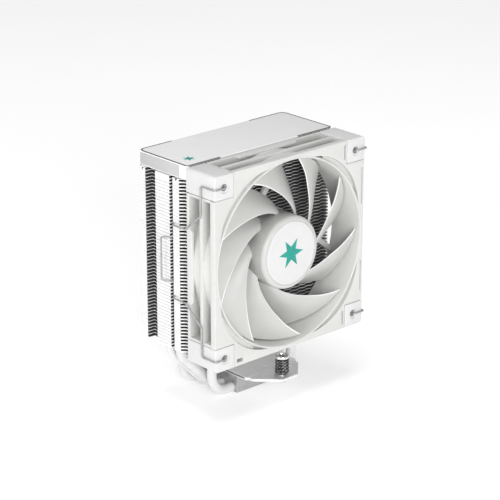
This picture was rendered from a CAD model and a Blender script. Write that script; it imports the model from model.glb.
import math

import bmesh
import bpy
from mathutils import Matrix, Vector


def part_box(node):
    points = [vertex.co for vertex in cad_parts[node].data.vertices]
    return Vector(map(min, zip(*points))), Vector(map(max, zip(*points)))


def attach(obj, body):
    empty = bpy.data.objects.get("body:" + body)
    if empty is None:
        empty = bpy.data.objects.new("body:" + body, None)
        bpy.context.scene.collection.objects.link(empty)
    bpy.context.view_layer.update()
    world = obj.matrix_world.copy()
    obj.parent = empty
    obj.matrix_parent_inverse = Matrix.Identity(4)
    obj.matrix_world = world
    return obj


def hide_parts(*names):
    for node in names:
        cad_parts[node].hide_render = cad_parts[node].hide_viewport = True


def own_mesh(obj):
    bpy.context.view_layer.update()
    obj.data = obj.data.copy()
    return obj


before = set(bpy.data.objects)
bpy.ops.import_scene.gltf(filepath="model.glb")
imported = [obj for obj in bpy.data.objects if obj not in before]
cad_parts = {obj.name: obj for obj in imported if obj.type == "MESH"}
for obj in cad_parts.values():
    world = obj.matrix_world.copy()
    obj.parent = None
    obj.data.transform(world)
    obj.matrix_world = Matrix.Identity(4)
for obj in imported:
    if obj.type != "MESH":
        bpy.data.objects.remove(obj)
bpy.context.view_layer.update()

# Sizes below are in millimetres; meshes are brought to metres as each piece is finished.
MM = 0.001


# ---- camera ----

def place_camera():
    data = bpy.data.cameras.new("view_camera")
    data.lens = 151.2
    data.sensor_width = 36.0
    data.clip_end = 50.0
    camera = bpy.data.objects.new("view_camera", data)
    camera.location = (-0.8004, -0.8898, 0.5243)
    camera.rotation_euler = (math.radians(69.79), 0.0, math.radians(-42.35))
    bpy.context.collection.objects.link(camera)
    bpy.context.scene.camera = camera


place_camera()


# ---- places that come from the frame ----

def reach_of(node):
    low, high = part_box(node)
    return low / MM, high / MM


fins_low, fins_high = reach_of("fin_stack")
cover_low, cover_high = reach_of("top_cover")
fan_low = reach_of("corner_pad_lower_left")[0]
fan_high = reach_of("corner_pad_upper_right")[1]
base_low, base_high = reach_of("base_block")
bracket_low, bracket_high = reach_of("mounting_bracket")
hub_low, hub_high = reach_of("hub_disc")

FAN_HALF = (fan_high.x - fan_low.x) / 2
FAN_CENTRE = (fan_high.z + fan_low.z) / 2
FAN_FRONT = fan_low.y
FAN_BACK = fan_high.y


# ---- mesh making ----

def mesh_from(build):
    mesh = bpy.data.meshes.new("made")
    build.normal_update()
    build.to_mesh(mesh)
    build.free()
    return mesh


def joined(*meshes):
    """Puts several meshes into one."""
    build = bmesh.new()
    for mesh in meshes:
        build.from_mesh(mesh)
        bpy.data.meshes.remove(mesh)
    return mesh_from(build)


def moved(mesh, matrix):
    mesh.transform(matrix)
    if matrix.determinant() < 0:
        mesh.flip_normals()
    return mesh


def shifted(mesh, x=0.0, y=0.0, z=0.0):
    return moved(mesh, Matrix.Translation((x, y, z)))


def copy_of(mesh, matrix):
    return moved(mesh.copy(), matrix)


def evaluated(obj):
    """The mesh of an object with its modifiers applied; the object is removed."""
    bpy.context.collection.objects.link(obj)
    graph = bpy.context.evaluated_depsgraph_get()
    mesh = bpy.data.meshes.new_from_object(obj.evaluated_get(graph))
    bpy.data.objects.remove(obj)
    return mesh


def plate(outlines, low, high, edge=0.2, steps=2):
    """A flat plate from closed outlines (the first is outside, the others are holes) with rounded edges."""
    curve = bpy.data.curves.new("outline", "CURVE")
    curve.dimensions = "2D"
    curve.fill_mode = "BOTH"
    curve.extrude = (high - low) / 2 - edge
    curve.bevel_depth = edge
    curve.bevel_resolution = steps
    curve.offset = -edge
    for outline in outlines:
        spline = curve.splines.new("POLY")
        spline.points.add(len(outline) - 1)
        for point, (a, b) in zip(spline.points, outline):
            point.co = (a, b, 0.0, 1.0)
        spline.use_cyclic_u = True
    mesh = evaluated(bpy.data.objects.new("outline", curve))
    bpy.data.curves.remove(curve)
    build = bmesh.new()
    build.from_mesh(mesh)
    bpy.data.meshes.remove(mesh)
    bmesh.ops.remove_doubles(build, verts=build.verts, dist=edge / 50)
    bmesh.ops.recalc_face_normals(build, faces=build.faces)
    mesh = mesh_from(build)
    return shifted(mesh, z=(low + high) / 2)


def laid_front(mesh):
    """Turns a plate drawn in X and Y so that it is drawn in X and Z, with its depth along -Y."""
    return moved(mesh, Matrix.Rotation(math.pi / 2, 4, "X"))


def front_plate(outlines, front, back, edge=0.2, steps=2):
    """A plate drawn in X and in height above the fan's centre, between two places along Y."""
    return shifted(laid_front(plate(outlines, -back, -front, edge, steps)), z=FAN_CENTRE)


def side_plate(outlines, low, high, edge=0.2, steps=2):
    """A plate drawn in Y and Z, between two places along X."""
    turn = Matrix(((0, 0, 1, 0), (1, 0, 0, 0), (0, 1, 0, 0), (0, 0, 0, 1)))
    return moved(plate(outlines, low, high, edge, steps), turn)


def lathe(profile, sides=96):
    """Turns a closed profile of radius and height about Z."""
    build = bmesh.new()
    rings = []
    for radius, height in profile:
        if radius == 0:
            rings.append([build.verts.new((0, 0, height))])
            continue
        angles = (2 * math.pi * i / sides for i in range(sides))
        rings.append([build.verts.new((radius * math.cos(a), radius * math.sin(a), height)) for a in angles])
    for one, other in zip(rings, rings[1:] + rings[:1]):
        if len(one) == 1 and len(other) == 1:
            continue
        for i in range(sides):
            k = (i + 1) % sides
            corners = [one[i % len(one)], one[k % len(one)], other[k % len(other)], other[i % len(other)]]
            unique = list(dict.fromkeys(corners))
            build.faces.new(unique)
    bmesh.ops.recalc_face_normals(build, faces=build.faces)
    return mesh_from(build)


def fan_lathe(profile, sides=96):
    """Turns a profile of radius and Y place about the fan's axis."""
    mesh = lathe([(radius, -y) for radius, y in profile], sides)
    return shifted(laid_front(mesh), z=FAN_CENTRE)


def rounded_profile(inner, outer, low, high, edge):
    """The section of a ring with four rounded corners."""
    points = []
    for cr, ch, start in ((outer - edge, low + edge, -90), (outer - edge, high - edge, 0),
                          (inner + edge, high - edge, 90), (inner + edge, low + edge, 180)):
        for k in range(4):
            angle = math.radians(start + 30 * k)
            points.append((cr + edge * math.cos(angle), ch + edge * math.sin(angle)))
    return points


def tube(points, radius, sides=14, closed=False, squeeze=None):
    """A round bar along a list of points, with rounded ends unless it is closed on itself."""
    path = [Vector(p) for p in points]
    build = bmesh.new()
    tangents = []
    for i, here in enumerate(path):
        before = path[i - 1] if i or closed else here
        after = path[(i + 1) % len(path)] if i < len(path) - 1 or closed else here
        tangents.append((after - before).normalized())
    side = tangents[0].orthogonal().normalized()
    rings = []

    def ring(centre, tangent, size):
        nonlocal side
        side = (side - tangent * side.dot(tangent)).normalized()
        up = tangent.cross(side)
        angles = (2 * math.pi * k / sides for k in range(sides))
        rings.append([build.verts.new(centre + (side * math.cos(a) + up * math.sin(a)) * size) for a in angles])

    cap = ((0.35, 0.94), (0.75, 0.66))
    if not closed:
        for back, share in reversed(cap):
            ring(path[0] - tangents[0] * radius * (back - 0.75), tangents[0], radius * share)
    for i, here in enumerate(path):
        if closed or (0 < i < len(path) - 1):
            ring(here, tangents[i], radius)
    if not closed:
        for back, share in cap:
            ring(path[-1] + tangents[-1] * radius * (back - 0.75), tangents[-1], radius * share)
    pairs = zip(rings, rings[1:] + rings[:1]) if closed else zip(rings, rings[1:])
    for one, other in pairs:
        for k in range(sides):
            j = (k + 1) % sides
            build.faces.new((one[k], one[j], other[j], other[k]))
    if not closed:
        build.faces.new(list(reversed(rings[0])))
        build.faces.new(rings[-1])
    bmesh.ops.recalc_face_normals(build, faces=build.faces)
    return mesh_from(build)


def filleted(points, radius, steps=6):
    """Rounds the corners of a route of straight runs."""
    path = [Vector(p) for p in points]
    out = [path[0]]
    for before, here, after in zip(path, path[1:], path[2:]):
        one = (before - here)
        other = (after - here)
        half = one.angle(other) / 2
        if half > math.radians(88):
            out.append(here)
            continue
        back = min(radius / math.tan(half), one.length * 0.45, other.length * 0.45)
        start = here + one.normalized() * back
        end = here + other.normalized() * back
        for k in range(steps + 1):
            t = k / steps
            out.append(start.lerp(here, t).lerp(here.lerp(end, t), t))
    return out + [path[-1]]


def carved(mesh, *tools):
    """Cuts closed tool meshes out of a closed mesh."""
    body = bpy.data.objects.new("carved", mesh)
    cutters = []
    for tool in tools:
        cutter = bpy.data.objects.new("cutter", tool)
        bpy.context.collection.objects.link(cutter)
        cutters.append(cutter)
        cut = body.modifiers.new("cut", "BOOLEAN")
        cut.operation = "DIFFERENCE"
        cut.solver = "EXACT"
        cut.object = cutter
    result = evaluated(body)
    for cutter in cutters:
        used = cutter.data
        bpy.data.objects.remove(cutter)
        bpy.data.meshes.remove(used)
    return result


def circle(radius, x=0.0, y=0.0, sides=48):
    angles = (2 * math.pi * i / sides for i in range(sides))
    return [(x + radius * math.cos(a), y + radius * math.sin(a)) for a in angles]


def rectangle(x0, y0, x1, y1, corner=0.0, steps=5):
    """A rectangle, with rounded corners if they are given a radius."""
    if not corner:
        return [(x0, y0), (x1, y0), (x1, y1), (x0, y1)]
    centres = ((x1 - corner, y0 + corner, -90), (x1 - corner, y1 - corner, 0),
               (x0 + corner, y1 - corner, 90), (x0 + corner, y0 + corner, 180))
    points = []
    for cx, cy, start in centres:
        for k in range(steps + 1):
            angle = math.radians(start + 90 * k / steps)
            points.append((cx + corner * math.cos(angle), cy + corner * math.sin(angle)))
    return points


# ---- finishes: effects that more than one material uses ----

def new_group(name, inputs, outputs):
    group = bpy.data.node_groups.new(name, "ShaderNodeTree")
    for socket, kind, default in inputs:
        made = group.interface.new_socket(name=socket, in_out="INPUT", socket_type=kind)
        made.default_value = default
    for socket, kind in outputs:
        group.interface.new_socket(name=socket, in_out="OUTPUT", socket_type=kind)
    return group, group.nodes.new("NodeGroupInput"), group.nodes.new("NodeGroupOutput")


def noise(tree, vector, scale, detail=3.0, rough=0.5):
    node = tree.nodes.new("ShaderNodeTexNoise")
    tree.links.new(vector, node.inputs["Vector"])
    if isinstance(scale, (int, float)):
        node.inputs["Scale"].default_value = scale
    else:
        tree.links.new(scale, node.inputs["Scale"])
    node.inputs["Detail"].default_value = detail
    node.inputs["Roughness"].default_value = rough
    return node.outputs["Fac"]


def maths(tree, operation, *values):
    node = tree.nodes.new("ShaderNodeMath")
    node.operation = operation
    for socket, value in zip(node.inputs, values):
        if isinstance(value, (int, float)):
            socket.default_value = value
        else:
            tree.links.new(value, socket)
    return node.outputs["Value"]


def spread(tree, value, low, high, to_low, to_high):
    node = tree.nodes.new("ShaderNodeMapRange")
    tree.links.new(value, node.inputs["Value"])
    for socket, number in zip(("From Min", "From Max", "To Min", "To Max"), (low, high, to_low, to_high)):
        if isinstance(number, (int, float)):
            node.inputs[socket].default_value = number
        else:
            tree.links.new(number, node.inputs[socket])
    return node.outputs["Result"]


def place_of(tree, stretch=(1.0, 1.0, 1.0)):
    """The place on the object in metres, stretched along each axis."""
    coordinates = tree.nodes.new("ShaderNodeTexCoord")
    mapping = tree.nodes.new("ShaderNodeMapping")
    mapping.inputs["Scale"].default_value = stretch
    tree.links.new(coordinates.outputs["Object"], mapping.inputs["Vector"])
    return mapping.outputs["Vector"]


def make_surface_grain():
    """A fine moulded or sprayed grain with slow mottling: Height for a bump, Tone and Gloss from 0 to 1."""
    inputs = (("Vector", "NodeSocketVector", (0, 0, 0)), ("Grain Scale", "NodeSocketFloat", 2500.0),
              ("Mottle Scale", "NodeSocketFloat", 60.0))
    outputs = (("Height", "NodeSocketFloat"), ("Tone", "NodeSocketFloat"), ("Gloss", "NodeSocketFloat"))
    group, source, result = new_group("surface_grain", inputs, outputs)
    vector = source.outputs["Vector"]
    fine = noise(group, vector, source.outputs["Grain Scale"], 2.0, 0.6)
    slow = noise(group, vector, source.outputs["Mottle Scale"], 4.0, 0.55)
    mixed = maths(group, "MULTIPLY_ADD", fine, 0.35, maths(group, "MULTIPLY", slow, 0.65))
    group.links.new(fine, result.inputs["Height"])
    group.links.new(spread(group, slow, 0.3, 0.7, 0.0, 1.0), result.inputs["Tone"])
    group.links.new(spread(group, mixed, 0.3, 0.7, 0.0, 1.0), result.inputs["Gloss"])
    return group


def make_tool_lines():
    """Long fine lines left by rolling, brushing or milling, with a few deeper scratches."""
    inputs = (("Vector", "NodeSocketVector", (0, 0, 0)), ("Line Scale", "NodeSocketFloat", 1500.0))
    outputs = (("Height", "NodeSocketFloat"), ("Tone", "NodeSocketFloat"))
    group, source, result = new_group("tool_lines", inputs, outputs)
    vector = source.outputs["Vector"]
    lines = noise(group, vector, source.outputs["Line Scale"], 3.0, 0.7)
    coarse = noise(group, vector, maths(group, "MULTIPLY", source.outputs["Line Scale"], 0.17), 2.0, 0.5)
    scratches = maths(group, "POWER", coarse, 6.0)
    both = maths(group, "ADD", maths(group, "MULTIPLY", lines, 0.7), scratches)
    group.links.new(both, result.inputs["Height"])
    group.links.new(spread(group, both, 0.2, 0.7, 0.0, 1.0), result.inputs["Tone"])
    return group


def make_worn_edges():
    """Light rubbing where edges stand proud: a mask from how sharply the surface turns."""
    inputs = (("Vector", "NodeSocketVector", (0, 0, 0)), ("Amount", "NodeSocketFloat", 0.5))
    group, source, result = new_group("worn_edges", inputs, (("Mask", "NodeSocketFloat"),))
    geometry = group.nodes.new("ShaderNodeNewGeometry")
    proud = spread(group, geometry.outputs["Pointiness"], 0.505, 0.56, 0.0, 1.0)
    broken = spread(group, noise(group, source.outputs["Vector"], 350.0, 4.0, 0.6), 0.4, 0.62, 0.0, 1.0)
    mask = maths(group, "MULTIPLY", maths(group, "MULTIPLY", proud, broken), source.outputs["Amount"])
    group.links.new(mask, result.inputs["Mask"])
    return group


SURFACE_GRAIN = make_surface_grain()
TOOL_LINES = make_tool_lines()
WORN_EDGES = make_worn_edges()


def placed_group(tree, group, vector, **values):
    node = tree.nodes.new("ShaderNodeGroup")
    node.node_tree = group
    tree.links.new(vector, node.inputs["Vector"])
    for name, value in values.items():
        node.inputs[name.replace("_", " ")].default_value = value
    return node


def mixed_colour(tree, share, one, other):
    node = tree.nodes.new("ShaderNodeMix")
    node.data_type = "RGBA"
    tree.links.new(share, node.inputs["Factor"])
    for socket, value in ((node.inputs[6], one), (node.inputs[7], other)):
        if isinstance(value, tuple):
            socket.default_value = (*value, 1.0)
        else:
            tree.links.new(value, socket)
    return node.outputs[2]


def bump(tree, height, distance, strength=1.0, under=None):
    node = tree.nodes.new("ShaderNodeBump")
    node.inputs["Distance"].default_value = distance
    node.inputs["Strength"].default_value = strength
    tree.links.new(height, node.inputs["Height"])
    if under is not None:
        tree.links.new(under, node.inputs["Normal"])
    return node.outputs["Normal"]


def grey(value):
    return (value, value, value)


def new_material(name):
    material = bpy.data.materials.new(name)
    material.use_nodes = True
    tree = material.node_tree
    return material, tree, tree.nodes["Principled BSDF"]


def coated(name, light, dark, roughness, grain=2500.0, mottle=60.0, depth=0.00001, worn=0.0,
           specular=0.5, coat=0.0, metallic=0.0):
    """A moulded or painted finish between two close colours, with grain, mottling and rubbed edges."""
    material, tree, shader = new_material(name)
    vector = place_of(tree)
    surface = placed_group(tree, SURFACE_GRAIN, vector, Grain_Scale=grain, Mottle_Scale=mottle)
    colour = mixed_colour(tree, surface.outputs["Tone"], dark, light)
    if worn:
        edges = placed_group(tree, WORN_EDGES, vector, Amount=worn)
        rubbed = tuple(min(1.0, c * 1.06 + 0.02) for c in light)
        colour = mixed_colour(tree, edges.outputs["Mask"], colour, rubbed)
    tree.links.new(colour, shader.inputs["Base Color"])
    spread_rough = spread(tree, surface.outputs["Gloss"], 0.0, 1.0, roughness * 0.88, min(1.0, roughness * 1.12))
    tree.links.new(spread_rough, shader.inputs["Roughness"])
    tree.links.new(bump(tree, surface.outputs["Height"], depth, 0.6), shader.inputs["Normal"])
    shader.inputs["Specular IOR Level"].default_value = specular
    shader.inputs["Coat Weight"].default_value = coat
    shader.inputs["Coat Roughness"].default_value = 0.15
    shader.inputs["Metallic"].default_value = metallic
    return material


def bare_metal(name, light, dark, roughness, stretch, lines=1500.0, depth=0.000008, worn=0.4, metallic=1.0):
    """A rolled, turned or milled metal, with its tool lines along one axis."""
    material, tree, shader = new_material(name)
    marks = placed_group(tree, TOOL_LINES, place_of(tree, stretch), Line_Scale=lines)
    surface = placed_group(tree, SURFACE_GRAIN, place_of(tree), Grain_Scale=900.0, Mottle_Scale=90.0)
    tone = maths(tree, "MULTIPLY", marks.outputs["Tone"], surface.outputs["Tone"])
    colour = mixed_colour(tree, tone, dark, light)
    edges = placed_group(tree, WORN_EDGES, place_of(tree), Amount=worn)
    colour = mixed_colour(tree, edges.outputs["Mask"], colour, tuple(min(1.0, c * 1.15) for c in light))
    tree.links.new(colour, shader.inputs["Base Color"])
    rough = spread(tree, marks.outputs["Tone"], 0.0, 1.0, roughness * 0.75, roughness * 1.25)
    tree.links.new(rough, shader.inputs["Roughness"])
    tree.links.new(bump(tree, marks.outputs["Height"], depth, 0.5), shader.inputs["Normal"])
    shader.inputs["Metallic"].default_value = metallic
    return material


def winding_material():
    """Enamelled copper wire, laid in close turns."""
    material, tree, shader = new_material("copper_winding")
    vector = place_of(tree)
    wave = tree.nodes.new("ShaderNodeTexWave")
    wave.wave_type = "RINGS"
    wave.inputs["Scale"].default_value = 620.0
    wave.inputs["Distortion"].default_value = 0.6
    shifted_centre = tree.nodes.new("ShaderNodeMapping")
    shifted_centre.inputs["Location"].default_value = (0.0, 0.0, -FAN_CENTRE * MM)
    tree.links.new(vector, shifted_centre.inputs["Vector"])
    tree.links.new(shifted_centre.outputs["Vector"], wave.inputs["Vector"])
    colour = mixed_colour(tree, wave.outputs["Fac"], (0.28, 0.09, 0.03), (0.72, 0.30, 0.12))
    tree.links.new(colour, shader.inputs["Base Color"])
    surface = placed_group(tree, SURFACE_GRAIN, vector, Grain_Scale=1800.0, Mottle_Scale=300.0)
    tree.links.new(spread(tree, surface.outputs["Gloss"], 0.0, 1.0, 0.22, 0.38), shader.inputs["Roughness"])
    tree.links.new(bump(tree, wave.outputs["Fac"], 0.0001, 0.8), shader.inputs["Normal"])
    shader.inputs["Metallic"].default_value = 0.85
    return material


def board_material():
    """A resin board with a green mask over its tracks."""
    material, tree, shader = new_material("board_resin")
    vector = place_of(tree)
    cells = tree.nodes.new("ShaderNodeTexVoronoi")
    cells.distance = "MANHATTAN"
    cells.feature = "DISTANCE_TO_EDGE"
    cells.inputs["Scale"].default_value = 260.0
    tree.links.new(vector, cells.inputs["Vector"])
    tracks = spread(tree, cells.outputs["Distance"], 0.03, 0.07, 1.0, 0.0)
    colour = mixed_colour(tree, tracks, (0.012, 0.09, 0.035), (0.05, 0.24, 0.10))
    tree.links.new(colour, shader.inputs["Base Color"])
    surface = placed_group(tree, SURFACE_GRAIN, vector, Grain_Scale=2200.0, Mottle_Scale=200.0)
    tree.links.new(spread(tree, surface.outputs["Gloss"], 0.0, 1.0, 0.3, 0.45), shader.inputs["Roughness"])
    tree.links.new(bump(tree, tracks, 0.00003, 0.7), shader.inputs["Normal"])
    return material


fin_edge_paint = coated("fin_edge_paint", grey(0.80), grey(0.74), 0.38, grain=1600.0, mottle=90.0, worn=0.3)
fin_face_paint = coated("fin_face_paint", grey(0.15), grey(0.11), 0.55, grain=1600.0, mottle=120.0)
pipe_paint = coated("pipe_paint", grey(0.70), grey(0.64), 0.26, grain=700.0, mottle=110.0, depth=0.00002, coat=0.4)
frame_plastic = coated("frame_plastic", (0.63, 0.63, 0.615), (0.61, 0.61, 0.595), 0.42, grain=3200.0, mottle=45.0,
                       worn=0.3)
cover_plastic = coated("cover_plastic", grey(0.88), grey(0.84), 0.32, grain=2600.0, mottle=35.0, worn=0.3, coat=0.2)
panel_plastic = coated("panel_plastic", grey(0.50), grey(0.46), 0.40, grain=2600.0, mottle=45.0)
stripe_plastic = coated("stripe_plastic", grey(0.13), grey(0.09), 0.45, grain=2600.0, mottle=200.0)
blade_edge_plastic = coated("blade_edge_plastic", grey(0.86), grey(0.82), 0.30, grain=2800.0, mottle=55.0)
blade_plastic = coated("blade_plastic", (0.57, 0.57, 0.555), (0.53, 0.53, 0.515), 0.40, grain=2800.0, mottle=55.0,
                       worn=0.7)
hub_plastic = coated("hub_plastic", grey(0.68), grey(0.65), 0.34, grain=3000.0, mottle=70.0)
pad_rubber = coated("pad_rubber", grey(0.68), grey(0.64), 0.62, grain=2200.0, mottle=80.0, depth=0.00002)
wire_coat = coated("wire_coat", grey(0.42), grey(0.32), 0.28, grain=1500.0, mottle=240.0, metallic=0.35)
teal_print = coated("teal_print", (0.004, 0.33, 0.27), (0.003, 0.27, 0.22), 0.40, grain=3400.0, mottle=260.0)
label_paper = coated("label_paper", grey(0.80), grey(0.74), 0.60, grain=4200.0, mottle=130.0, depth=0.00002)
lock_nylon = coated("lock_nylon", (0.80, 0.79, 0.74), (0.74, 0.73, 0.68), 0.48, grain=2000.0, mottle=300.0)
magnet_rubber = coated("magnet_rubber", grey(0.035), grey(0.02), 0.72, grain=1500.0, mottle=220.0, depth=0.00003)
plated_steel = bare_metal("plated_steel", grey(0.90), grey(0.80), 0.42, (1.0, 0.06, 1.0), depth=0.000004,
                          worn=0.6, metallic=0.7)
screw_steel = bare_metal("screw_steel", grey(0.85), grey(0.62), 0.16, (1.0, 1.0, 0.2), lines=900.0, worn=0.6)
turned_steel = bare_metal("turned_steel", grey(0.62), grey(0.42), 0.25, (1.0, 0.1, 1.0), lines=1200.0)
milled_aluminium = bare_metal("milled_aluminium", grey(0.54), grey(0.43), 0.38, (0.05, 1.0, 1.0), lines=2200.0)
spring_steel = bare_metal("spring_steel", grey(0.20), grey(0.10), 0.24, (1.0, 1.0, 0.3), lines=1400.0, worn=0.5)
sintered_bronze = bare_metal("sintered_bronze", (0.50, 0.33, 0.14), (0.32, 0.20, 0.08), 0.5, (1.0, 1.0, 1.0))
copper_winding = winding_material()
board_resin = board_material()


# ---- placing pieces ----

def piece(name, mesh, material, body, nodes=(), sharp=32.0, extra=()):
    """Finishes a mesh made in millimetres as a piece that rides on a body and stands for CAD nodes."""
    mesh.transform(Matrix.Scale(MM, 4))
    mesh.name = name
    mesh.shade_smooth()
    mesh.set_sharp_from_angle(angle=math.radians(sharp))
    if not mesh.materials:
        mesh.materials.append(material)
        for other in extra:
            mesh.materials.append(other)
    obj = bpy.data.objects.new(name, mesh)
    bpy.context.collection.objects.link(obj)
    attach(obj, body)
    if nodes:
        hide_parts(*nodes)
    return obj


def finish_node(node, material, edge=0.1):
    """Gives a carried-over node its finish and slightly rounded edges."""
    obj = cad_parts[node]
    obj.data.materials.clear()
    obj.data.materials.append(material)
    bevel = obj.modifiers.new("rounded_edges", "BEVEL")
    bevel.width = edge * MM
    bevel.segments = 2
    bevel.limit_method = "ANGLE"
    bevel.angle_limit = math.radians(40)
    bevel.harden_normals = False
    return obj


# ---- fin stack ----

FIN_COUNT = 53
FIN_THICKNESS = 0.4
TAB_THICKNESS = 0.4
TAB_JOINT = 0.2
TIGHT_JOINT = 0.08
LIP_HEIGHT = 0.95
LIP_THICKNESS = 0.3
FIN_HALF_WIDTH = 57.9
REAR_TAB = (15.7, 20.5)
MIDDLE_TAB = (-6.0, 6.4)
FRONT_TAB = (-14.6, -9.2)
CLIP_GROOVE = (-8.2, 3.4)
BAND_DEPTH = 5.0
CORNER_CUT = 2.5
PIPE_RADIUS = 3.0
PIPE_PLACES = tuple(
    ((node_low.x + node_high.x) / 2, node_low, node_high)
    for node_low, node_high in (reach_of("heat_pipe_%d" % i) for i in range(1, 5))
)


def fin_outline():
    back = fins_high.y
    front = fins_low.y
    side = FIN_HALF_WIDTH
    groove_y, groove_depth = CLIP_GROOVE
    behind_tab = side - 1.0
    band = side - BAND_DEPTH
    band_front = band + 1.4
    groove = side - groove_depth
    right = [(side - 0.8, back), (side, back - 0.8), (side, REAR_TAB[1]), (behind_tab, REAR_TAB[1] - 0.4),
             (behind_tab, REAR_TAB[0] + 0.4), (side, REAR_TAB[0])]
    right += [(band + 0.5, REAR_TAB[0] - 0.3), (band, REAR_TAB[0] - 0.9), (band_front, MIDDLE_TAB[1] + 0.9),
              (band_front + 0.5, MIDDLE_TAB[1] + 0.3)]
    right += [(side, MIDDLE_TAB[1]), (side, MIDDLE_TAB[0]), (groove + 0.4, MIDDLE_TAB[0] - 0.1),
              (groove, MIDDLE_TAB[0] - 0.5), (groove, groove_y - 0.8), (groove + 1.2, groove_y - 1.3)]
    right += [(behind_tab, FRONT_TAB[1] - 0.4), (behind_tab, FRONT_TAB[0] + 1.0), (side, FRONT_TAB[0]),
              (side - CORNER_CUT, FRONT_TAB[0] - CORNER_CUT), (side - CORNER_CUT, front)]
    wave_count = 18
    wave_depth = 1.2
    span = side - 4.2
    front_wave = []
    back_wave = []
    for i in range(2 * wave_count + 1):
        x = span - 2 * span * i / (2 * wave_count)
        inward = wave_depth if i % 2 else 0.0
        front_wave.append((x, front + inward))
        back_wave.append((-x, back - inward))
    left = [(-x, y) for x, y in reversed(right)]
    return right + front_wave + left + back_wave


def pipe_holes():
    return [circle(PIPE_RADIUS + 0.15, x, (low.y + high.y) / 2, 24)
            for _, low, high in PIPE_PLACES for x in (low.x + PIPE_RADIUS, high.x - PIPE_RADIUS)]


def tab(side, span, bottom, top, notched):
    """One folded tab on a short side; the highest ones have a small notch."""
    y0, y1 = span
    if notched:
        middle = (y0 + y1) / 2
        outline = [(y0, bottom), (y1, bottom), (y1, top), (middle + 1.4, top), (middle, top - 2.1),
                   (middle - 1.4, top)]
        outline.append((y0, top))
    else:
        outline = [(y0, bottom), (y1, bottom), (y1, top), (y0, top)]
    xs = sorted((side * FIN_HALF_WIDTH, side * (FIN_HALF_WIDTH + TAB_THICKNESS)))
    return side_plate([outline], xs[0], xs[1], edge=0.06, steps=0)


def lip(side, path):
    """A low folded edge that follows part of a fin's outline."""
    points = [Vector((side * x, y)) for x, y in path]
    far = []
    for i, here in enumerate(points):
        before = points[max(i - 1, 0)]
        after = points[min(i + 1, len(points) - 1)]
        tangent = (after - before).normalized()
        far.append(here + Vector((tangent.y, -tangent.x)) * LIP_THICKNESS * -side)
    outline = [(p.x, p.y) for p in points + far[::-1]]
    return plate([outline], 0.1, LIP_HEIGHT, edge=0.04, steps=0)


def fin_lips():
    """The folded edges in each clip groove and along the cut front corners."""
    side = FIN_HALF_WIDTH
    corner = [(side, FRONT_TAB[0] - 0.1), (side - CORNER_CUT, FRONT_TAB[0] - CORNER_CUT),
              (side - CORNER_CUT, fins_low.y + 0.3)]
    groove = [(side, MIDDLE_TAB[0] - 0.05), (side - CLIP_GROOVE[1] + 0.6, MIDDLE_TAB[0] - 0.15)]
    return joined(*(lip(sign, path) for sign in (-1, 1) for path in (corner, groove)))


def make_fin_stack():
    pitch = (fins_high.z - fins_low.z - FIN_THICKNESS) / (FIN_COUNT - 1)
    one_fin = plate([fin_outline(), *pipe_holes()], 0.0, FIN_THICKNESS, edge=0.05, steps=0)
    meshes = []
    for i in range(FIN_COUNT):
        bottom = fins_low.z + i * pitch
        meshes.append(copy_of(one_fin, Matrix.Translation((0, 0, bottom))))
    one_fin_faces = len(one_fin.polygons)
    lips = fin_lips()
    for i in range(FIN_COUNT - 1):
        meshes.append(copy_of(lips, Matrix.Translation((0, 0, fins_low.z + i * pitch))))
    bpy.data.meshes.remove(lips)
    bpy.data.meshes.remove(one_fin)
    for side in (-1, 1):
        for span in (REAR_TAB, MIDDLE_TAB, FRONT_TAB):
            joint = TAB_JOINT if span is MIDDLE_TAB else TIGHT_JOINT
            plain = tab(side, span, 0.0, pitch - joint, False)
            for i in range(FIN_COUNT - 3):
                meshes.append(copy_of(plain, Matrix.Translation((0, 0, fins_low.z + i * pitch))))
            bpy.data.meshes.remove(plain)
            top = fins_low.z + (FIN_COUNT - 3) * pitch
            meshes.append(tab(side, span, top, fins_high.z, span is not MIDDLE_TAB))
    stack = joined(*meshes)
    stack.materials.append(fin_edge_paint)
    stack.materials.append(fin_face_paint)
    lowest = fins_low.z + FIN_THICKNESS / 4
    highest = fins_high.z - FIN_THICKNESS / 4
    fin_face_count = FIN_COUNT * one_fin_faces
    for face in stack.polygons:
        flat = abs(face.normal.z) > 0.9 and face.index < fin_face_count
        if flat and lowest < face.center.z < highest:
            face.material_index = 1
    return stack


piece("fins", make_fin_stack(), fin_edge_paint, "heatsink", ["fin_stack"])


# ---- heat pipes ----

PIPE_AXIS = 2.6
PIPE_BEND = 12.0


def bend(cx, cz, radius, start, end, steps=14):
    out = []
    for k in range(steps + 1):
        angle = math.radians(start + (end - start) * k / steps)
        out.append((cx + radius * math.cos(angle), cz + radius * math.sin(angle)))
    return out


def pipe_half(reach, top):
    """From beside the base out and up to the sealed end, as X and Z."""
    start = base_high.x + 0.3
    low_bend = PIPE_AXIS + PIPE_BEND
    if reach - PIPE_BEND - start < PIPE_BEND / 2:
        rise = bend(reach - PIPE_BEND, low_bend, PIPE_BEND, -90, 0)
    else:
        across = PIPE_BEND * math.sqrt(0.5)
        small = PIPE_BEND - across
        end_x = reach - small
        end_z = PIPE_AXIS + small + end_x - start - across
        rise = bend(start, low_bend, PIPE_BEND, -90, -45) + bend(end_x - across, end_z + across, PIPE_BEND, -45, 0)
    height = rise[-1][1]
    straight = [(reach, height + (top - height) * k / 12) for k in range(1, 13)]
    return rise + straight


def make_pipe(low, high):
    reach = high.x - PIPE_RADIUS
    y = (low.y + high.y) / 2
    right = pipe_half(reach, high.z - 1.0)
    middle = [(x, PIPE_AXIS) for x in (-12, -6, 0, 6, 12)]
    left = [(-x, z) for x, z in reversed(right)]
    route = [(x, y, z) for x, z in left + middle + right]
    mesh = tube(route, PIPE_RADIUS - 0.02, sides=32)
    for vertex in mesh.vertices:
        vertex.co.z = min(max(vertex.co.z, base_low.z), high.z)
    return mesh


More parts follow.
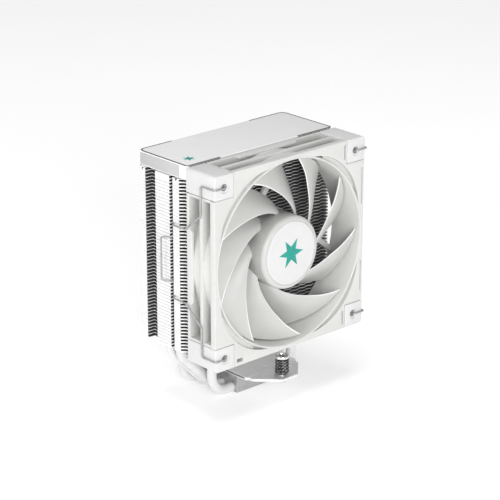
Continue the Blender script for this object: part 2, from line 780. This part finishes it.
for number, (_, pipe_low, pipe_high) in enumerate(PIPE_PLACES, 1):
    name = "heat_pipe_%d" % number
    piece("coated_pipe_%d" % number, make_pipe(pipe_low, pipe_high), pipe_paint, "heatsink", [name],
          sharp=60.0)


# ---- base and bracket ----

def make_base():
    """The milled block, with its four pipe grooves open below and a step round its upper half."""
    half = base_high.y
    top = base_high.z
    chamfer = 0.8
    outline = [(-half, top - chamfer), (-half, 0.0)]
    for _, low, high in PIPE_PLACES:
        y = (low.y + high.y) / 2
        start = math.degrees(math.asin(PIPE_AXIS / (PIPE_RADIUS + 0.12)))
        for k in range(13):
            angle = math.radians(180 + start - (180 + 2 * start) * k / 12)
            outline.append((y + (PIPE_RADIUS + 0.12) * math.cos(angle),
                            PIPE_AXIS + (PIPE_RADIUS + 0.12) * math.sin(angle)))
    outline += [(half, 0.0), (half, top - chamfer), (half - chamfer, top), (-half + chamfer, top)]
    return side_plate([outline], base_low.x, base_high.x, edge=0.25, steps=1)


piece("milled_base", make_base(), milled_aluminium, "heatsink", ["base_block"])

EAR_STEP = 31.4
EAR_HALF = 19.0
EAR_CHAMFER = 12.5
SCREW_Y = reach_of("mount_screw_rear")[0].y + 4.2
BRACKET_SCREW_X = 12.0


def corner_rounded(points, radius):
    path = filleted([(x, y, 0.0) for x, y in points + points[:2]], radius, 4)
    return [(p.x, p.y) for p in path[1:-1]]


def make_bracket():
    """The pressed plate, with a shallow step where each ear begins and the holes for its screws."""
    half = bracket_high.x
    reach = bracket_high.y
    quarter = [(half, EAR_STEP), (EAR_HALF, EAR_STEP), (EAR_HALF, reach - EAR_CHAMFER),
               (EAR_HALF - EAR_CHAMFER, reach)]
    right = [(x, -y) for x, y in reversed(quarter)] + quarter
    outline = corner_rounded(right + [(-x, y) for x, y in reversed(right)], 0.8)
    holes = [circle(3.0, 0, y, 32) for y in (-SCREW_Y, SCREW_Y)]
    holes += [circle(0.9, -1.5, y, 20) for y in (-26.9, 26.9)]
    body = plate([outline, *holes], bracket_low.z, bracket_high.z - 0.25, edge=0.18)
    raised = corner_rounded([(half, -EAR_STEP + 0.6), (half, EAR_STEP - 0.6), (-half, EAR_STEP - 0.6),
                             (-half, -EAR_STEP + 0.6)], 1.0)
    middle = plate([raised, *holes[2:]], bracket_low.z + 0.5, bracket_high.z, edge=0.22)
    return joined(body, middle)


piece("pressed_bracket", make_bracket(), plated_steel, "heatsink", ["mounting_bracket"])


def cross_cutter(x, y, top, reach, width, depth):
    across = plate([rectangle(-reach, -width / 2, reach, width / 2)], top - depth, top + 1.0, edge=0.02, steps=0)
    along = plate([rectangle(-width / 2, -reach, width / 2, reach)], top - depth, top + 1.0, edge=0.02, steps=0)
    return [shifted(across, x, y), shifted(along, x, y)]


def threaded(radius, depth, start, end, pitch):
    """Profile points of a screw's thread between two heights."""
    points = []
    turns = int((end - start) / pitch)
    for i in range(turns):
        z = start + (end - start) * i / turns
        step = (end - start) / turns
        points += [(radius - depth, z + 0.1 * step), (radius, z + 0.42 * step), (radius, z + 0.58 * step),
                   (radius - depth, z + 0.9 * step)]
    return points


def make_bracket_screw(node):
    low, high = reach_of(node)
    x, y = (low.x + high.x) / 2, (low.y + high.y) / 2
    head = (high.x - low.x) / 2
    shank = 1.5
    under = bracket_high.z + 0.3
    profile = [(0, low.z), (shank - 0.4, low.z)] + threaded(shank, 0.25, low.z + 0.3, under - 1.2, 0.6)
    profile += [(shank, under - 1.0), (shank, under), (head, under), (head, high.z - 0.5), (head - 0.5, high.z),
                (0, high.z)]
    body = shifted(lathe(profile, 48), x, y)
    return carved(body, *cross_cutter(x, y, high.z, head * 0.6, 0.6, 0.8))


for side in ("left", "right"):
    node = "bracket_screw_" + side
    piece("fixing_screw_" + side, make_bracket_screw(node), screw_steel, "heatsink", [node])


# ---- sprung mounting screws ----

def make_mount_screw(node):
    """A captive screw: threaded tip, ring groove, smooth shank, collar and dished head."""
    low, high = reach_of(node)
    y = (low.y + high.y) / 2
    head = (high.y - low.y) / 2
    shank = 2.5
    ring_low, ring_high = reach_of(node.replace("mount_screw", "retaining_ring"))
    under = high.z - 1.8
    profile = [(0, low.z), (shank - 0.7, low.z)]
    profile += threaded(shank, 0.35, low.z + 0.4, ring_low.z - 0.5, 0.8)
    profile += [(shank, ring_low.z - 0.3), (shank - 0.6, ring_low.z - 0.3), (shank - 0.6, ring_high.z + 0.3),
                (shank, ring_high.z + 0.3), (shank, under - 2.0), (shank + 0.3, under - 1.9), (shank + 0.3, under),
                (head - 0.25, under), (head, under + 0.25), (head, high.z - 0.35), (head - 0.12, high.z - 0.1),
                (head - 0.35, high.z), (head - 0.8, high.z), (head - 1.0, high.z - 0.25), (head - 1.15, high.z - 0.9),
                (0, high.z - 0.9)]
    body = shifted(lathe(profile, 64), 0, y)
    return carved(body, *cross_cutter(0, y, high.z - 0.9, head - 1.8, 0.95, 1.3))


def make_spring(node):
    """Closed end turns and open turns between them, with the cut ends ground flat."""
    low, high = reach_of(node)
    wire = 0.52
    radius = 3.8
    y = (low.y + high.y) / 2
    turns = 5
    bottom = low.z + wire
    rise = high.z - low.z - 2 * wire
    steps = 36
    end_share = 0.8 / turns
    route = []
    for i in range(turns * steps + 1):
        share = i / (turns * steps)
        angle = 2 * math.pi * turns * share
        free = min(max((share - end_share) / (1 - 2 * end_share), 0.0), 1.0)
        closed = 0.5 * (min(share, end_share) / end_share + max(share - 1 + end_share, 0.0) / end_share - 1)
        height = bottom + rise * (0.84 * free + 0.08) + 0.16 * rise * closed
        route.append((radius * math.cos(angle), y + radius * math.sin(angle), min(max(height, bottom), bottom + rise)))
    mesh = tube(route, wire, sides=12)
    for vertex in mesh.vertices:
        vertex.co.z = min(max(vertex.co.z, low.z), high.z)
    return mesh


def make_retaining_ring(node):
    """An open ring with two lobes that spring into the screw's groove."""
    low, high = reach_of(node)
    y = (low.y + high.y) / 2
    inner, outer = 2.2, 4.2
    mouth = math.radians(34)
    outline = []
    for k in range(33):
        angle = math.radians(90) + mouth + (2 * math.pi - 2 * mouth) * k / 32
        outline.append((outer * math.cos(angle), y + outer * math.sin(angle)))
    for k in range(32, -1, -1):
        angle = math.radians(90) + mouth * 1.2 + (2 * math.pi - 2.4 * mouth) * k / 32
        reach = inner + 0.5 * abs(math.sin(1.5 * (angle - math.radians(90)))) ** 3
        outline.append((reach * math.cos(angle), y + reach * math.sin(angle)))
    return plate([outline], low.z, high.z, edge=0.1, steps=1)


for end in ("front", "rear"):
    screw = "mount_screw_" + end
    piece("captive_screw_" + end, make_mount_screw(screw), screw_steel, end + "_screw", [screw])
    ring = "retaining_ring_" + end
    piece("snap_ring_" + end, make_retaining_ring(ring), plated_steel, end + "_screw_float", [ring])
    coil_node = "screw_spring_" + end
    coil = piece("coil_spring_" + end, make_spring(coil_node), spring_steel, "heatsink", [coil_node],
                 sharp=60.0)
    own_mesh(coil)


# ---- top cover ----

STRIPE_WIDTH = 1.05
STRIPE_HEIGHT = 0.3
STRIPE_PROUD = 0.05
LEFT_STRIPE_END = -32.5
RIGHT_STRIPE_END = 29.5
COVER_CORNER = 2.0
STRIPE_CORNER = 4.0
PANEL_SPAN = (-15.1, 20.3)


def cover_outline(grow=0.0, corner=COVER_CORNER):
    return rectangle(cover_low.x - grow, cover_low.y - grow, cover_high.x + grow, cover_high.y + grow,
                     corner + grow, 10)


def make_cover():
    """A shallow lid, hollow below, with a step round its foot and a sunk panel at each short end."""
    top = cover_high.z - STRIPE_PROUD
    wall = 1.5
    inner = rectangle(cover_low.x + wall, cover_low.y + wall, cover_high.x - wall, cover_high.y - wall,
                      COVER_CORNER - wall, 10)
    lid = plate([cover_outline()], cover_low.z + 0.8, top, edge=0.35, steps=3)
    hollow = plate([inner], cover_low.z - 1.0, top - 2.0, edge=0.05, steps=0)
    sinks = []
    for side in (-1, 1):
        face = cover_high.x * side
        xs = sorted((face - 0.3 * side, face + 0.5 * side))
        panel = rectangle(PANEL_SPAN[0], cover_low.z - 1.0, PANEL_SPAN[1], top - 0.9)
        sinks.append(side_plate([panel], *xs, edge=0.02, steps=0))
    return carved(lid_with_foot(lid), hollow, *sinks)


def make_end_panel(side):
    face = (cover_high.x - 0.12) * side
    xs = sorted((face, face - 0.5 * side))
    return side_plate([rectangle(PANEL_SPAN[0] + 0.1, cover_low.z + 0.9, PANEL_SPAN[1] - 0.1,
                                 cover_high.z - STRIPE_PROUD - 1.0, 0.3)], *xs, edge=0.08, steps=1)


def lid_with_foot(lid):
    foot = plate([cover_outline(-0.9)], cover_low.z, cover_low.z + 1.4, edge=0.05, steps=0)
    body = bpy.data.objects.new("lid", lid)
    other = bpy.data.objects.new("foot", foot)
    bpy.context.collection.objects.link(other)
    union = body.modifiers.new("join", "BOOLEAN")
    union.operation = "UNION"
    union.solver = "EXACT"
    union.object = other
    result = evaluated(body)
    bpy.data.objects.remove(other)
    bpy.data.meshes.remove(foot)
    return result


def make_stripe(end, sign):
    """A thin inlay that wraps one short end along the lid's upper edge, with a second line below it in front."""

    def wrapped(grow):
        path = []
        radius = {1: STRIPE_CORNER + grow, -1: COVER_CORNER + grow}
        for along in (1, -1):
            corner = radius[along]
            centre = (sign * (cover_high.x + grow - corner), along * (cover_high.y + grow - corner))
            for k in range(11):
                angle = math.radians(90 - 9 * k if along > 0 else -9 * k)
                path.append((centre[0] + sign * corner * math.cos(angle), centre[1] + corner * math.sin(angle)))
        return path

    outer = wrapped(STRIPE_PROUD)
    inner = wrapped(STRIPE_PROUD - STRIPE_WIDTH)
    outline = [(end, outer[0][1]), *outer, (end, outer[-1][1]), (end, inner[-1][1]), *inner[::-1], (end, inner[0][1])]
    upper = plate([outline], cover_high.z - STRIPE_HEIGHT, cover_high.z, edge=0.05, steps=1)
    far = sign * (cover_high.x - COVER_CORNER)
    xs = sorted((end, far))
    below = plate([rectangle(xs[0], cover_low.y - STRIPE_PROUD, xs[1], cover_low.y + 0.4)],
                  cover_high.z - 1.75, cover_high.z - 0.5, edge=0.05, steps=1)
    return joined(upper, below)


piece("lid", make_cover(), cover_plastic, "heatsink", ["top_cover"])
piece("lid_stripe_left", make_stripe(LEFT_STRIPE_END, -1), stripe_plastic, "heatsink")
piece("lid_stripe_right", make_stripe(RIGHT_STRIPE_END, 1), stripe_plastic, "heatsink")
for side, across in ((-1, "left"), (1, "right")):
    piece("lid_end_panel_" + across, make_end_panel(side), panel_plastic, "heatsink")
finish_node("cover_mark", teal_print, 0.04)


# ---- fan frame ----

FRAME_FRONT = FAN_FRONT + 0.3
FRAME_BACK = FAN_BACK - 0.3
PAD_WIDTH = reach_of("corner_pad_lower_left")[1].x - fan_low.x
PAD_GAP = 0.3
INNER_REACH = FAN_HALF - PAD_WIDTH - PAD_GAP
DUCT_INNER = 57.3
DUCT_OUTER = 58.8
FRONT_FLANGE = 4.0
REAR_FLANGE = 2.0
RIB_FRONT = FAN_FRONT + 11.1
RIB_BACK = RIB_FRONT + 2.5
CRESCENT_WIDTH = 4.0
CRESCENT_SPAN = 28.0
HOLE_REACH = FAN_HALF - 7.5


def square_without_corners(reach, outer=FAN_HALF, chamfer=0.0):
    """The frame's square with its four corners left out for the pads."""
    corner = [(outer, reach), (reach, reach), (reach, outer)]
    points = []
    for quarter in range(4):
        for x, y in corner:
            for _ in range(quarter):
                x, y = -y, x
            points.append((x, y))
    return points


def crescent_hole():
    """The bore in the front face, which widens to a crescent towards each corner."""
    points = []
    for i in range(240):
        degrees = i * 360 / 240
        off_diagonal = abs((degrees % 90) - 45) / CRESCENT_SPAN
        widening = CRESCENT_WIDTH * (1 - off_diagonal ** 2) if off_diagonal < 1 else 0.0
        radius = DUCT_OUTER - 0.6 + widening
        points.append((radius * math.cos(math.radians(degrees)), radius * math.sin(math.radians(degrees))))
    return points


def slot_outlines():
    """Small slots through the front face: one for the lead, and narrow ones beside the right pads."""
    cable = rectangle(-43.1, -57.9, -38.1, -55.7, 0.5, 2)
    beside = [rectangle(43.1, 48.5, 44.2, 57.5, 0.4, 2), rectangle(43.1, -57.5, 44.2, -48.5, 0.4, 2)]
    beside += [rectangle(58.1, 17.5, 58.8, 40.5), rectangle(58.1, -38.5, 58.8, -19.0)]
    return [cable, *beside]


def crescent_floors():
    """The shallow floor of each crescent; its two tips stay open."""
    floors = []
    open_share = 0.62
    steps = 24
    for quarter in range(4):
        inner = []
        outer = []
        for k in range(steps + 1):
            share = open_share * (2 * k / steps - 1)
            angle = math.radians(45 + 90 * quarter + share * CRESCENT_SPAN)
            far = DUCT_OUTER + CRESCENT_WIDTH * (1 - share ** 2)
            inner.append(((DUCT_OUTER - 0.5) * math.cos(angle), (DUCT_OUTER - 0.5) * math.sin(angle)))
            outer.append((far * math.cos(angle), far * math.sin(angle)))
        floors.append(front_plate([inner + outer[::-1]], FRAME_FRONT + 2.4, FRAME_FRONT + 3.5, edge=0.1, steps=1))
    return floors


def frame_bars():
    """The struts that hold the motor base, each leaving it at a tangent."""
    width, depth = 3.4, 3.0
    offset = 23.0 - width / 2
    reach = math.sqrt((DUCT_INNER + 0.5) ** 2 - offset ** 2)
    bars = []
    for i in range(4):
        outline = rectangle(0.0, offset - width / 2, reach, offset + width / 2)
        angle = math.radians(51 + 90 * i)
        turned = [(x * math.cos(angle) - y * math.sin(angle), x * math.sin(angle) + y * math.cos(angle))
                  for x, y in outline]
        bars.append(front_plate([turned], FRAME_BACK - depth, FRAME_BACK, edge=0.5))
    return bars


def side_swells():
    """The rear flange is deeper along the middle of each side."""
    y0 = FRAME_BACK - REAR_FLANGE + 0.3
    outline = [(y0, -24.5), (y0, 24.5), (y0 - 2.8, 22.0), (y0 - 2.8, -22.0)]
    swell = side_plate([outline], -FAN_HALF + 0.02, -DUCT_OUTER + 0.5, edge=0.25)
    swells = [copy_of(swell, Matrix.Translation((0, 0, FAN_CENTRE)) @ Matrix.Rotation(math.pi / 2 * i, 4, "Y"))
              for i in range(4)]
    bpy.data.meshes.remove(swell)
    return swells


def corner_walls():
    """Walls between the flanges that close the pockets beside each pad."""
    thickness = 1.5
    near = INNER_REACH - thickness
    far = FAN_HALF - 0.4
    duct_far = math.sqrt(DUCT_OUTER ** 2 - near ** 2)
    wall = [(near, duct_far - 0.5), (near + thickness, duct_far - 1.8), (near + thickness, far), (near, far)]
    walls = []
    for quarter in range(4):
        for flip in (False, True):
            points = [(y, x) for x, y in wall] if flip else wall
            for _ in range(quarter):
                points = [(-y, x) for x, y in points]
            walls.append(front_plate([points], FRAME_FRONT + 3.4, FRAME_BACK - 0.5, edge=0.1, steps=1))
    return walls


def motor_base():
    """The disc behind the hub, with a rounded edge, and the tube that holds the bearing."""
    back = FAN_BACK - 0.9
    front = back - 2.6
    tube_front = reach_of("bearing_bushing")[0].y - 0.3
    disc = [(3.4, front), (3.4, back), (22.4, back), (23.0, back - 0.6), (23.0, front + 0.6), (22.4, front),
            (5.6, front), (5.0, front - 0.6), (5.0, tube_front), (3.4, tube_front)]
    return fan_lathe(disc, 72)


def make_frame():
    lip = 0.55
    duct = fan_lathe([(DUCT_INNER + lip, FAN_FRONT + 0.12), (DUCT_OUTER - lip, FAN_FRONT + 0.12),
                      (DUCT_OUTER - 0.15, FRAME_FRONT + 0.2), (DUCT_OUTER, FRAME_FRONT + 0.6),
                      (DUCT_OUTER, FRAME_BACK), (DUCT_INNER, FRAME_BACK), (DUCT_INNER, FRAME_FRONT + 0.6),
                      (DUCT_INNER + 0.12, FRAME_FRONT + 0.2)], 160)
    bore = circle(DUCT_INNER + 0.7, sides=160)
    front_face = front_plate([square_without_corners(INNER_REACH), crescent_hole(), *slot_outlines()],
                             FRAME_FRONT, FRAME_FRONT + FRONT_FLANGE, edge=0.3)
    rear_face = front_plate([square_without_corners(INNER_REACH), bore], FRAME_BACK - REAR_FLANGE, FRAME_BACK,
                            edge=0.25)
    rib = front_plate([square_without_corners(INNER_REACH, FAN_HALF - 0.1), bore], RIB_FRONT, RIB_BACK, edge=0.25)
    lugs = []
    lug_reach = FAN_HALF - 3.2
    for sx in (-1, 1):
        for sz in (-1, 1):
            xs = sorted((sx * (INNER_REACH - 0.5), sx * lug_reach))
            zs = sorted((sz * (INNER_REACH - 0.5), sz * lug_reach))
            hole = circle(2.6, sx * HOLE_REACH, sz * HOLE_REACH, 32)
            lugs.append(front_plate([rectangle(xs[0], zs[0], xs[1], zs[1]), hole], RIB_FRONT + 0.05,
                                    RIB_BACK - 0.05, edge=0.15, steps=1))
    return joined(duct, front_face, rear_face, rib, motor_base(), *lugs, *frame_bars(), *side_swells(),
                  *corner_walls(), *crescent_floors())


piece("moulded_frame", make_frame(), frame_plastic, "heatsink", ["fan_frame"])


# ---- corner pads ----

def pad_outline(sx, sz):
    """A square with a rounder outer corner, in X and in height above the fan's centre."""
    near, far = FAN_HALF - PAD_WIDTH, FAN_HALF
    soft, outer = 0.7, 2.0
    points = []
    for cx, cz, radius, start in ((far - outer, far - outer, outer, 0), (near + soft, far - soft, soft, 90),
                                  (near + soft, near + soft, soft, 180), (far - soft, near + soft, soft, 270)):
        for k in range(7):
            angle = math.radians(start + 15 * k)
            points.append((sx * (cx + radius * math.cos(angle)), sz * (cz + radius * math.sin(angle))))
    return points


def make_pad(sx, sz):
    centre = (sx * HOLE_REACH, sz * HOLE_REACH)
    hole = circle(2.2, *centre, 40)
    body = front_plate([pad_outline(sx, sz), hole], FAN_FRONT, FAN_BACK, edge=0.45, steps=3)
    sink = fan_lathe([(0, FAN_FRONT - 1.0), (3.5, FAN_FRONT - 1.0), (3.5, FAN_FRONT + 0.35), (3.3, FAN_FRONT + 0.6),
                      (0, FAN_FRONT + 0.6)], 48)
    near, far = FAN_HALF - PAD_WIDTH - 1.0, FAN_HALF - 2.7
    xs = sorted((sx * near, sx * far))
    zs = sorted((sz * near, sz * far))
    room = front_plate([rectangle(xs[0], zs[0], xs[1], zs[1])], RIB_FRONT - 0.3, RIB_BACK + 0.3, edge=0.02, steps=0)
    return carved(body, shifted(sink, centre[0], 0, centre[1]), room)


for sx, across in ((-1, "left"), (1, "right")):
    for sz, level in ((1, "upper"), (-1, "lower")):
        node = "corner_pad_%s_%s" % (level, across)
        piece("soft_pad_%s_%s" % (level, across), make_pad(sx, sz), pad_rubber, "heatsink", [node])


# ---- impeller ----

BLADE_COUNT = 9
EDGE_ROWS = 2
HUB_RADIUS = 22.5
HUB_FRONT = hub_low.y
HUB_BACK = reach_of("magnet_ring")[1].y + 1.3
BLADE_FRONT = HUB_FRONT + 3.0
BLADE_TIP = DUCT_INNER - 0.9
BLADE_ROOM = 17.0
LEAD_TURN = (-63.5, -37.5, -19.8, -8.4, 1.5)
TRAIL_TURN = (-85.0, -66.5, -52.5, -43.0, -37.2)
LEAD_DEPTH = (0.435, 0.32, 0.21, 0.10, 0.01)
TRAIL_DEPTH = (0.86, 0.90, 0.935, 0.97, 1.0)


def along(stations, share):
    """A smooth value between evenly spread stations."""
    place = share * (len(stations) - 1)
    i = min(int(place), len(stations) - 2)
    t = place - i
    p1, p2 = stations[i], stations[i + 1]
    p0 = stations[i - 1] if i else 2 * p1 - p2
    p3 = stations[i + 2] if i + 2 < len(stations) else 2 * p2 - p1
    return 0.5 * (2 * p1 + (p2 - p0) * t + (2 * p0 - 5 * p1 + 4 * p2 - p3) * t * t
                  + (3 * p1 - p0 - 3 * p2 + p3) * t ** 3)


def blade_point(span, chord, side, turn):
    root = HUB_RADIUS - 0.8
    radius = root + (BLADE_TIP - root) * span
    angle = along(LEAD_TURN, span) + (along(TRAIL_TURN, span) - along(LEAD_TURN, span)) * chord
    share = along(LEAD_DEPTH, span) + (along(TRAIL_DEPTH, span) - along(LEAD_DEPTH, span)) * chord
    depth = BLADE_ROOM * share - 1.6 * math.sin(math.pi * chord)
    fullness = math.sqrt(max(0.0, math.sin(math.pi * min(1.0, chord ** 0.75)))) * (1.0 - 0.25 * span)
    depth += side * (0.18 + 0.62 * fullness)
    turned = math.radians(angle + turn)
    return (radius * math.cos(turned), BLADE_FRONT + depth, radius * math.sin(turned) + FAN_CENTRE)


def make_blade(turn):
    """A thin swept blade, thickest near its leading edge, with rounded edges."""
    spans, chords = 22, 18
    build = bmesh.new()
    sheets = []
    places = [(1 - math.cos(math.pi * k / chords)) / 2 for k in range(chords + 1)]
    for side in (-1, 1):
        sheets.append([[build.verts.new(blade_point(i / spans, place, side, turn)) for place in places]
                       for i in range(spans + 1)])
    for front, flip in ((sheets[0], False), (sheets[1], True)):
        for i in range(spans):
            for k in range(chords):
                corners = [front[i][k], front[i + 1][k], front[i + 1][k + 1], front[i][k + 1]]
                made = build.faces.new(corners[::-1] if flip else corners)
                made.material_index = 1 if k < EDGE_ROWS and i > 1 else 0
    one, other = sheets
    for i in range(spans):
        build.faces.new((one[i][0], other[i][0], other[i + 1][0], one[i + 1][0])).material_index = 1
        build.faces.new((one[i][chords], one[i + 1][chords], other[i + 1][chords], other[i][chords]))
    for k in range(chords):
        build.faces.new((one[0][k], one[0][k + 1], other[0][k + 1], other[0][k]))
        build.faces.new((one[spans][k], other[spans][k], other[spans][k + 1], one[spans][k + 1]))
    bmesh.ops.recalc_face_normals(build, faces=build.faces)
    return mesh_from(build)


def make_hub():
    """The cup: a recess for the disc in front, a rounded shoulder, and a skirt over the motor."""
    recess = reach_of("hub_disc")[1].y + 0.3
    floor_back = recess + 1.6
    disc = (hub_high.x - hub_low.x) / 2
    shoulder = 2.6
    rounding = [(HUB_RADIUS - shoulder + shoulder * math.sin(math.radians(a)),
                 HUB_FRONT + 0.05 + shoulder * (1 - math.cos(math.radians(a)))) for a in range(0, 91, 10)]
    profile = [(0, recess), (disc + 0.12, recess), (disc + 0.12, HUB_FRONT + 0.1), (disc + 0.2, HUB_FRONT + 0.05)]
    profile += rounding
    inner = HUB_RADIUS - 1.6
    profile += [(HUB_RADIUS, HUB_BACK - 0.3), (HUB_RADIUS - 0.3, HUB_BACK), (inner, HUB_BACK), (inner, floor_back),
                (0, floor_back)]
    return fan_lathe(profile, 120)


def make_hub_disc():
    disc = (hub_high.x - hub_low.x) / 2
    back = hub_high.y
    line = 17.6
    profile = [(0, HUB_FRONT), (line - 0.12, HUB_FRONT), (line, HUB_FRONT + 0.1), (line + 0.12, HUB_FRONT),
               (disc - 0.3, HUB_FRONT), (disc - 0.08, HUB_FRONT + 0.08), (disc, HUB_FRONT + 0.3), (disc, back),
               (0, back)]
    return fan_lathe(profile, 120)


blades = [make_blade(360 * i / BLADE_COUNT) for i in range(BLADE_COUNT)]
piece("bladed_rotor", joined(make_hub(), *blades), blade_plastic, "rotor", ["impeller"],
      sharp=50.0, extra=[blade_edge_plastic])
piece("hub_badge_disc", make_hub_disc(), hub_plastic, "rotor", ["hub_disc"])
finish_node("hub_mark", teal_print, 0.04)
finish_node("rotor_yoke", plated_steel, 0.15)
finish_node("magnet_ring", magnet_rubber, 0.2)
finish_node("rotor_shaft", turned_steel, 0.1)
finish_node("shaft_lock_ring", lock_nylon, 0.08)


# ---- motor parts that stay still ----

finish_node("stator_core", plated_steel, 0.1)
finish_node("circuit_board", board_resin, 0.1)
finish_node("bearing_bushing", sintered_bronze, 0.1)
finish_node("motor_label", label_paper, 0.05)
for coil_number in range(1, 5):
    finish_node("coil_%d" % coil_number, copper_winding, 0.6)


# ---- wire clips ----

CLIP_WIRE = 1.2


def clip_route():
    """The left clip's wire from its upper hook down to its lower one, as X, Y and height over the centre."""
    out = CLIP_WIRE / 2 + 0.3
    groove_y, groove_depth = CLIP_GROOVE
    beside = -FAN_HALF - out
    in_front = FAN_FRONT - out
    groove_x = -58.0 + groove_depth - 2.3
    handle_x = reach_of("clip_left")[0].x + CLIP_WIRE / 2 + 0.5
    handle_y = groove_y + 5.6
    handle_height = 13.4
    shoulder = 23.0
    upper = [
        (-HOLE_REACH, FAN_FRONT + 1.4, HOLE_REACH),
        (-HOLE_REACH, in_front, HOLE_REACH),
        (beside, in_front, HOLE_REACH),
        (beside, RIB_FRONT, HOLE_REACH),
        (beside, RIB_FRONT, 34.5),
        (beside, FAN_BACK - 0.3, shoulder),
        (beside, -12.5, shoulder - 0.2),
        (groove_x, groove_y, shoulder - 0.4),
        (groove_x, groove_y, handle_height + 0.6),
        (beside + 0.6, groove_y + 1.2, handle_height + 0.2),
        (handle_x, handle_y, handle_height),
    ]
    return upper + [(x, y, -z) for x, y, z in reversed(upper)]


def make_clip(side):
    route = [(-side * x, y, z + FAN_CENTRE) for x, y, z in clip_route()]
    return tube(filleted(route, 1.6, 6), CLIP_WIRE / 2 - 0.05, sides=14)


for side, across in ((-1, "left"), (1, "right")):
    piece("wire_clip_" + across, make_clip(side), wire_coat, across + "_clip", ["clip_" + across],
          sharp=60.0)


# ---- floor and light ----

def make_floor():
    """A wide pale sheet that the cooler stands on."""
    build = bmesh.new()
    half = 3.0
    corners = [build.verts.new((x, y, -0.0002)) for x, y in ((-half, -half), (half, -half), (half, half), (-half, half))]
    build.faces.new(corners)
    floor = bpy.data.objects.new("studio_floor", mesh_from(build))
    material, tree, shader = new_material("studio_paper")
    surface = placed_group(tree, SURFACE_GRAIN, place_of(tree), Grain_Scale=900.0, Mottle_Scale=8.0)
    tree.links.new(mixed_colour(tree, surface.outputs["Tone"], grey(0.93), grey(0.94)), shader.inputs["Base Color"])
    shader.inputs["Roughness"].default_value = 0.9
    shader.inputs["Specular IOR Level"].default_value = 0.1
    shader.inputs["Emission Color"].default_value = (1.0, 1.0, 1.0, 1.0)
    shader.inputs["Emission Strength"].default_value = 0.26
    floor.data.materials.append(material)
    bpy.context.collection.objects.link(floor)


def make_light(name, place, aim, size, power):
    data = bpy.data.lights.new(name, "AREA")
    data.shape = "DISK"
    data.size = size
    data.energy = power
    light = bpy.data.objects.new(name, data)
    light.location = place
    light.rotation_euler = (Vector(aim) - Vector(place)).to_track_quat("-Z", "Y").to_euler()
    bpy.context.collection.objects.link(light)


def make_studio():
    world = bpy.data.worlds.new("studio_air")
    world.use_nodes = True
    world.node_tree.nodes["Background"].inputs["Color"].default_value = (1.0, 1.0, 1.0, 1.0)
    world.node_tree.nodes["Background"].inputs["Strength"].default_value = 0.46
    bpy.context.scene.world = world
    aim = (0.0, 0.0, 0.08)
    make_light("front_softbox", (-0.8, -1.5, 0.5), aim, 0.9, 17.5)
    make_light("left_softbox", (-1.7, -0.1, 0.4), aim, 0.9, 7.5)
    make_light("top_softbox", (-0.2, 0.0, 1.9), aim, 1.0, 11.0)
    bpy.context.scene.view_settings.view_transform = "Standard"


make_floor()
make_studio()
